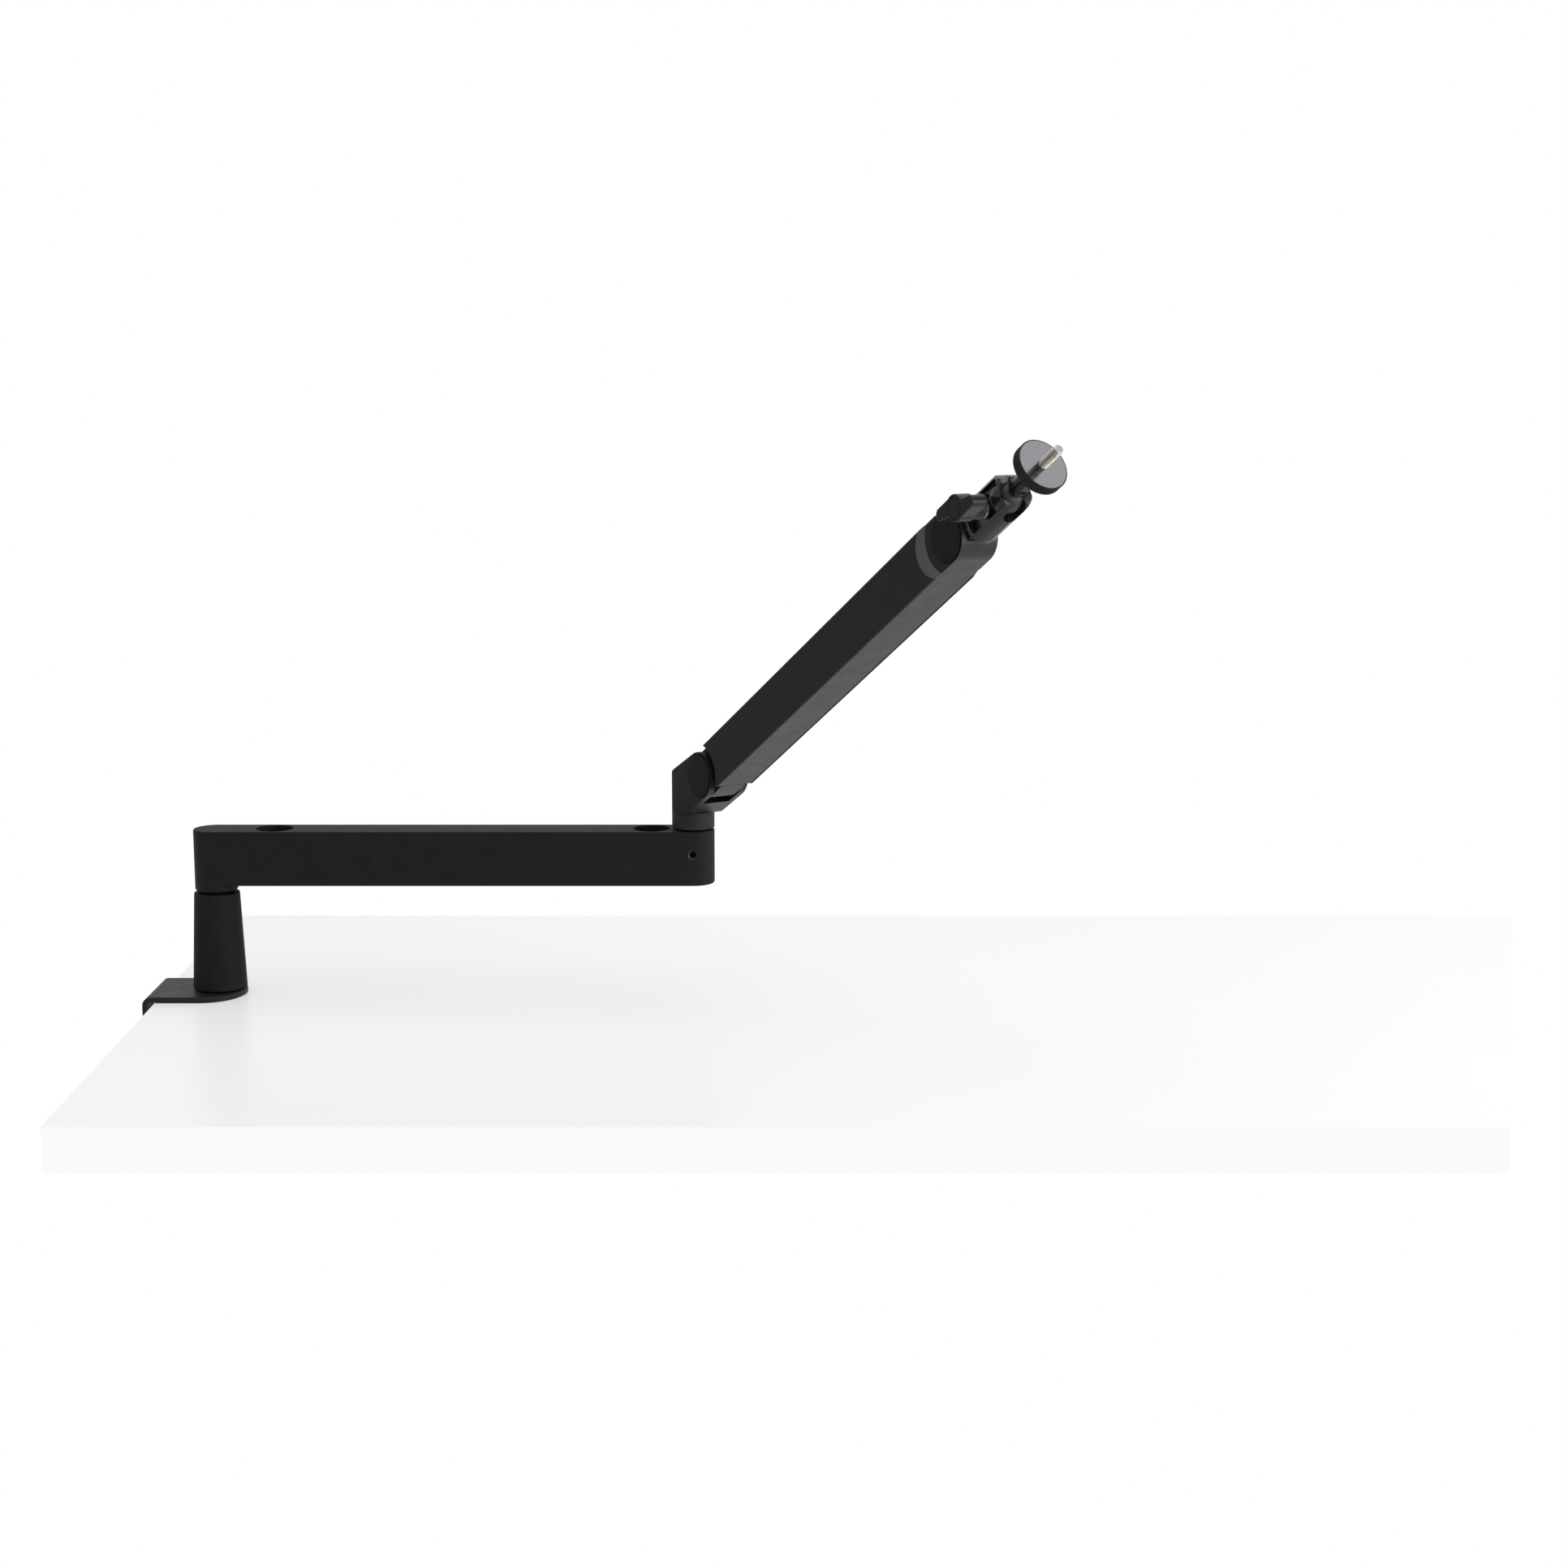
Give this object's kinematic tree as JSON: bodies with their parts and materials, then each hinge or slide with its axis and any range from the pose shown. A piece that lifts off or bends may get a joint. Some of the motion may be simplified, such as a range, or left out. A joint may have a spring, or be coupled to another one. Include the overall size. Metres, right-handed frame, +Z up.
{
  "type": "microphone boom arm",
  "caption": "Low-profile desk microphone boom arm: C-clamp and riser, swivelling lower arm with cable holes, tilting upper arm, ball head with wing knob and threaded stud.",
  "frame": {"origin": "where the riser's axis meets the desk top, on the clamp pad's lower face", "axes": "+Z up along the riser, +X along the lower arm from riser to elbow, +Y to the back"},
  "size_m": [0.6314, 0.3871, 0.5455],
  "materials": {
    "bracket_steel": "black powder coat",
    "pad_rubber": "matt",
    "arm_paint": "fine black powder coat",
    "cover_plastic": "fine grain",
    "head_metal": "satin black",
    "cap_plastic": "satin",
    "knob_plastic": "satin",
    "plain_steel": "turned",
    "black_steel": "black oxide",
    "zinc_steel": "zinc plate",
    "bearing_plastic": "smooth",
    "stud_nickel": "bright nickel",
    "disc_body": "black anodised, knurled rim",
    "disc_polish": "polished"
  },
  "bodies": {
    "clamp": {"clamp_bracket": "bracket_steel", "desk_pad": "pad_rubber", "clamp_nut": "plain_steel", "base_post": "plain_steel", "post_screw": "black_steel", "riser": "arm_paint", "riser_bush_upper": "bearing_plastic", "riser_bush_lower": "bearing_plastic"},
    "pressure_foot": {"pressure_plate": "plain_steel", "pressure_pad": "pad_rubber"},
    "clamp_drive": {"clamp_screw": "zinc_steel", "clamp_knob": "knob_plastic"},
    "lower_arm": {"lower_arm_shell": "arm_paint", "lower_arm_cover": "cover_plastic", "base_spindle": "plain_steel", "base_washer": "bearing_plastic", "elbow_bush_upper": "bearing_plastic", "elbow_bush_lower": "bearing_plastic", "elbow_set_screw": "black_steel"},
    "elbow": {"elbow_washer": "bearing_plastic", "elbow_collar": "arm_paint", "elbow_spindle": "plain_steel", "spindle_retainer": "plain_steel", "retainer_screw": "black_steel", "elbow_head": "arm_paint", "elbow_cap_near": "cap_plastic", "elbow_cap_far": "cap_plastic", "tilt_bolt": "black_steel", "tilt_nut": "black_steel", "tilt_washers": "bearing_plastic"},
    "upper_arm": {"upper_arm_sleeve": "arm_paint", "upper_arm_cover": "cover_plastic", "arm_knuckle": "arm_paint", "knuckle_bush": "bearing_plastic", "sleeve_screws": "black_steel", "tip_clevis": "arm_paint", "tip_cap_near": "cap_plastic", "tip_cap_far": "cap_plastic", "head_bolt": "black_steel", "head_nut": "black_steel", "head_washers": "bearing_plastic"},
    "head": {"head_block": "head_metal", "clamp_jaw": "head_metal", "jaw_nut": "zinc_steel", "knob_washer": "plain_steel"},
    "wing_knob": {"t_knob": "knob_plastic", "knob_screw": "black_steel"},
    "ball": {"swivel_ball": "black_steel"},
    "stem": {"ball_stem": "black_steel", "mic_stud": "stud_nickel"},
    "lock_ring": {"lock_disc": "disc_body", "disc_face": "disc_polish"}
  },
  "joints": [
    {"name": "clamp_slide", "type": "slide", "parent": "clamp", "child": "pressure_foot", "axis": [0, 0, 1], "range_m": [-0.03, 0.0195]},
    {"name": "clamp_turn", "type": "hinge", "parent": "pressure_foot", "child": "clamp_drive", "pos_m": [-0.014, 0, -0.08], "axis": [0, 0, 1], "range_deg": [-7202, 4682]},
    {"name": "base_swivel", "type": "hinge", "parent": "clamp", "child": "lower_arm", "pos_m": [0, 0, 0.08], "axis": [0, 0, 1], "continuous": true},
    {"name": "elbow_swivel", "type": "hinge", "parent": "lower_arm", "child": "elbow", "pos_m": [0.35, 0, 0.1243], "axis": [0, 0, 1], "continuous": true},
    {"name": "arm_tilt", "type": "hinge", "parent": "elbow", "child": "upper_arm", "pos_m": [0.36865, -0.02985, 0.1696], "axis": [-0.848, -0.5299, 0], "range_deg": [-32.4, 42.6]},
    {"name": "head_tilt", "type": "hinge", "parent": "upper_arm", "child": "head", "pos_m": [0.52525, -0.28046, 0.35714], "axis": [-0.848, -0.5299, 0], "range_deg": [0, 60]},
    {"name": "wing_knob_turn", "type": "hinge", "parent": "head", "child": "wing_knob", "pos_m": [0.54213, -0.30747, 0.37694], "axis": [0.848, 0.5299, 0], "continuous": true},
    {"name": "ball_pan", "type": "hinge", "parent": "head", "child": "ball", "pos_m": [0.54814, -0.31708, 0.38241], "axis": [0.4474, -0.716, 0.5358], "continuous": true},
    {"name": "ball_lean", "type": "hinge", "parent": "ball", "child": "stem", "pos_m": [0.54814, -0.31708, 0.38241], "axis": [-0.6542, 0.1465, 0.742], "range_deg": [-21.87, 18.13]},
    {"name": "lock_disc_turn", "type": "hinge", "parent": "stem", "child": "lock_ring", "pos_m": [0.54814, -0.31708, 0.38241], "axis": [0.4671, -0.6934, 0.5487], "continuous": true}
  ],
  "couplings": [
    {"joint": "clamp_turn", "follows": "clamp_slide", "rad_per_m": 4188.8}
  ]
}
